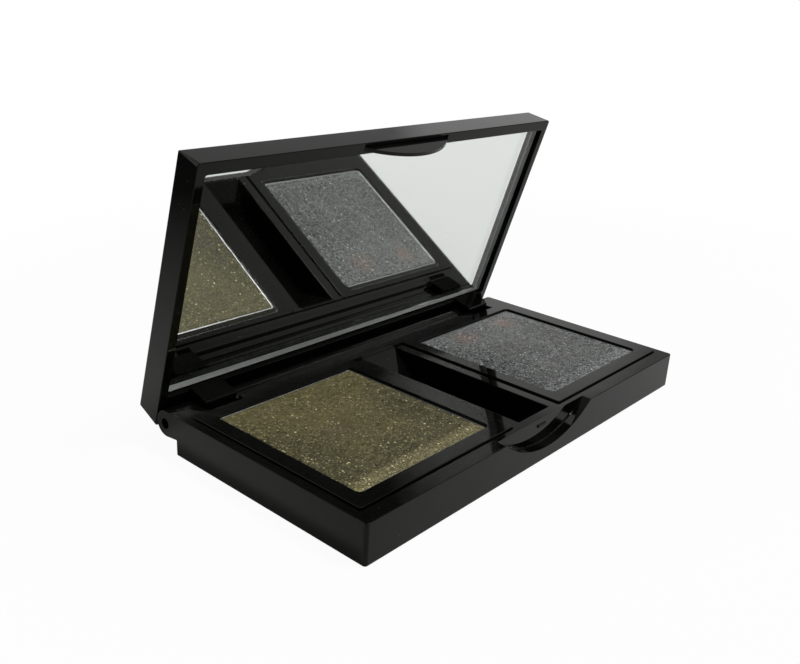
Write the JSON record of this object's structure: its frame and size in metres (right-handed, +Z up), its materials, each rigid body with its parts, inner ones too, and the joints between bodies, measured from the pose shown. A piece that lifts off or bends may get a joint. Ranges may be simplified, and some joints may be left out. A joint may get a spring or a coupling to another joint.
{
  "type": "eyeshadow palette",
  "caption": "Small black compact with pressed eyeshadow powder in square pans, an applicator groove between them, and a mirror lid on a pin hinge.",
  "frame": {"origin": "centre of the flat underside of the base tray", "axes": "+X along the hinge and the long side, +Y from the front notch towards the hinge, +Z up"},
  "size_m": [0.076, 0.0455, 0.0424],
  "materials": {
    "black_plastic": "gloss",
    "pan_metal": "satin",
    "gold_powder": "matte",
    "grey_powder": "matte",
    "glue": "matte",
    "pin_steel": "satin",
    "label_paper": "matte",
    "mirror_glass": "polished"
  },
  "bodies": {
    "base": {"base_shell": "black_plastic", "pan_holder_left": "black_plastic", "pan_holder_right": "black_plastic", "pan_left": "pan_metal", "pan_right": "pan_metal", "powder_left": "gold_powder", "powder_right": "grey_powder", "pan_glue_left": "glue", "pan_glue_right": "glue", "hinge_pin_left": "pin_steel", "hinge_pin_right": "pin_steel", "base_label": "label_paper"},
    "lid": {"lid_shell": "black_plastic", "mirror": "mirror_glass", "mirror_pad": "glue"}
  },
  "joints": [
    {"name": "lid_hinge", "type": "hinge", "parent": "base", "child": "lid", "pos_m": [0, 0.0206, 0.004], "axis": [-1, 0, 0], "range_deg": [-73.3, 35]}
  ]
}
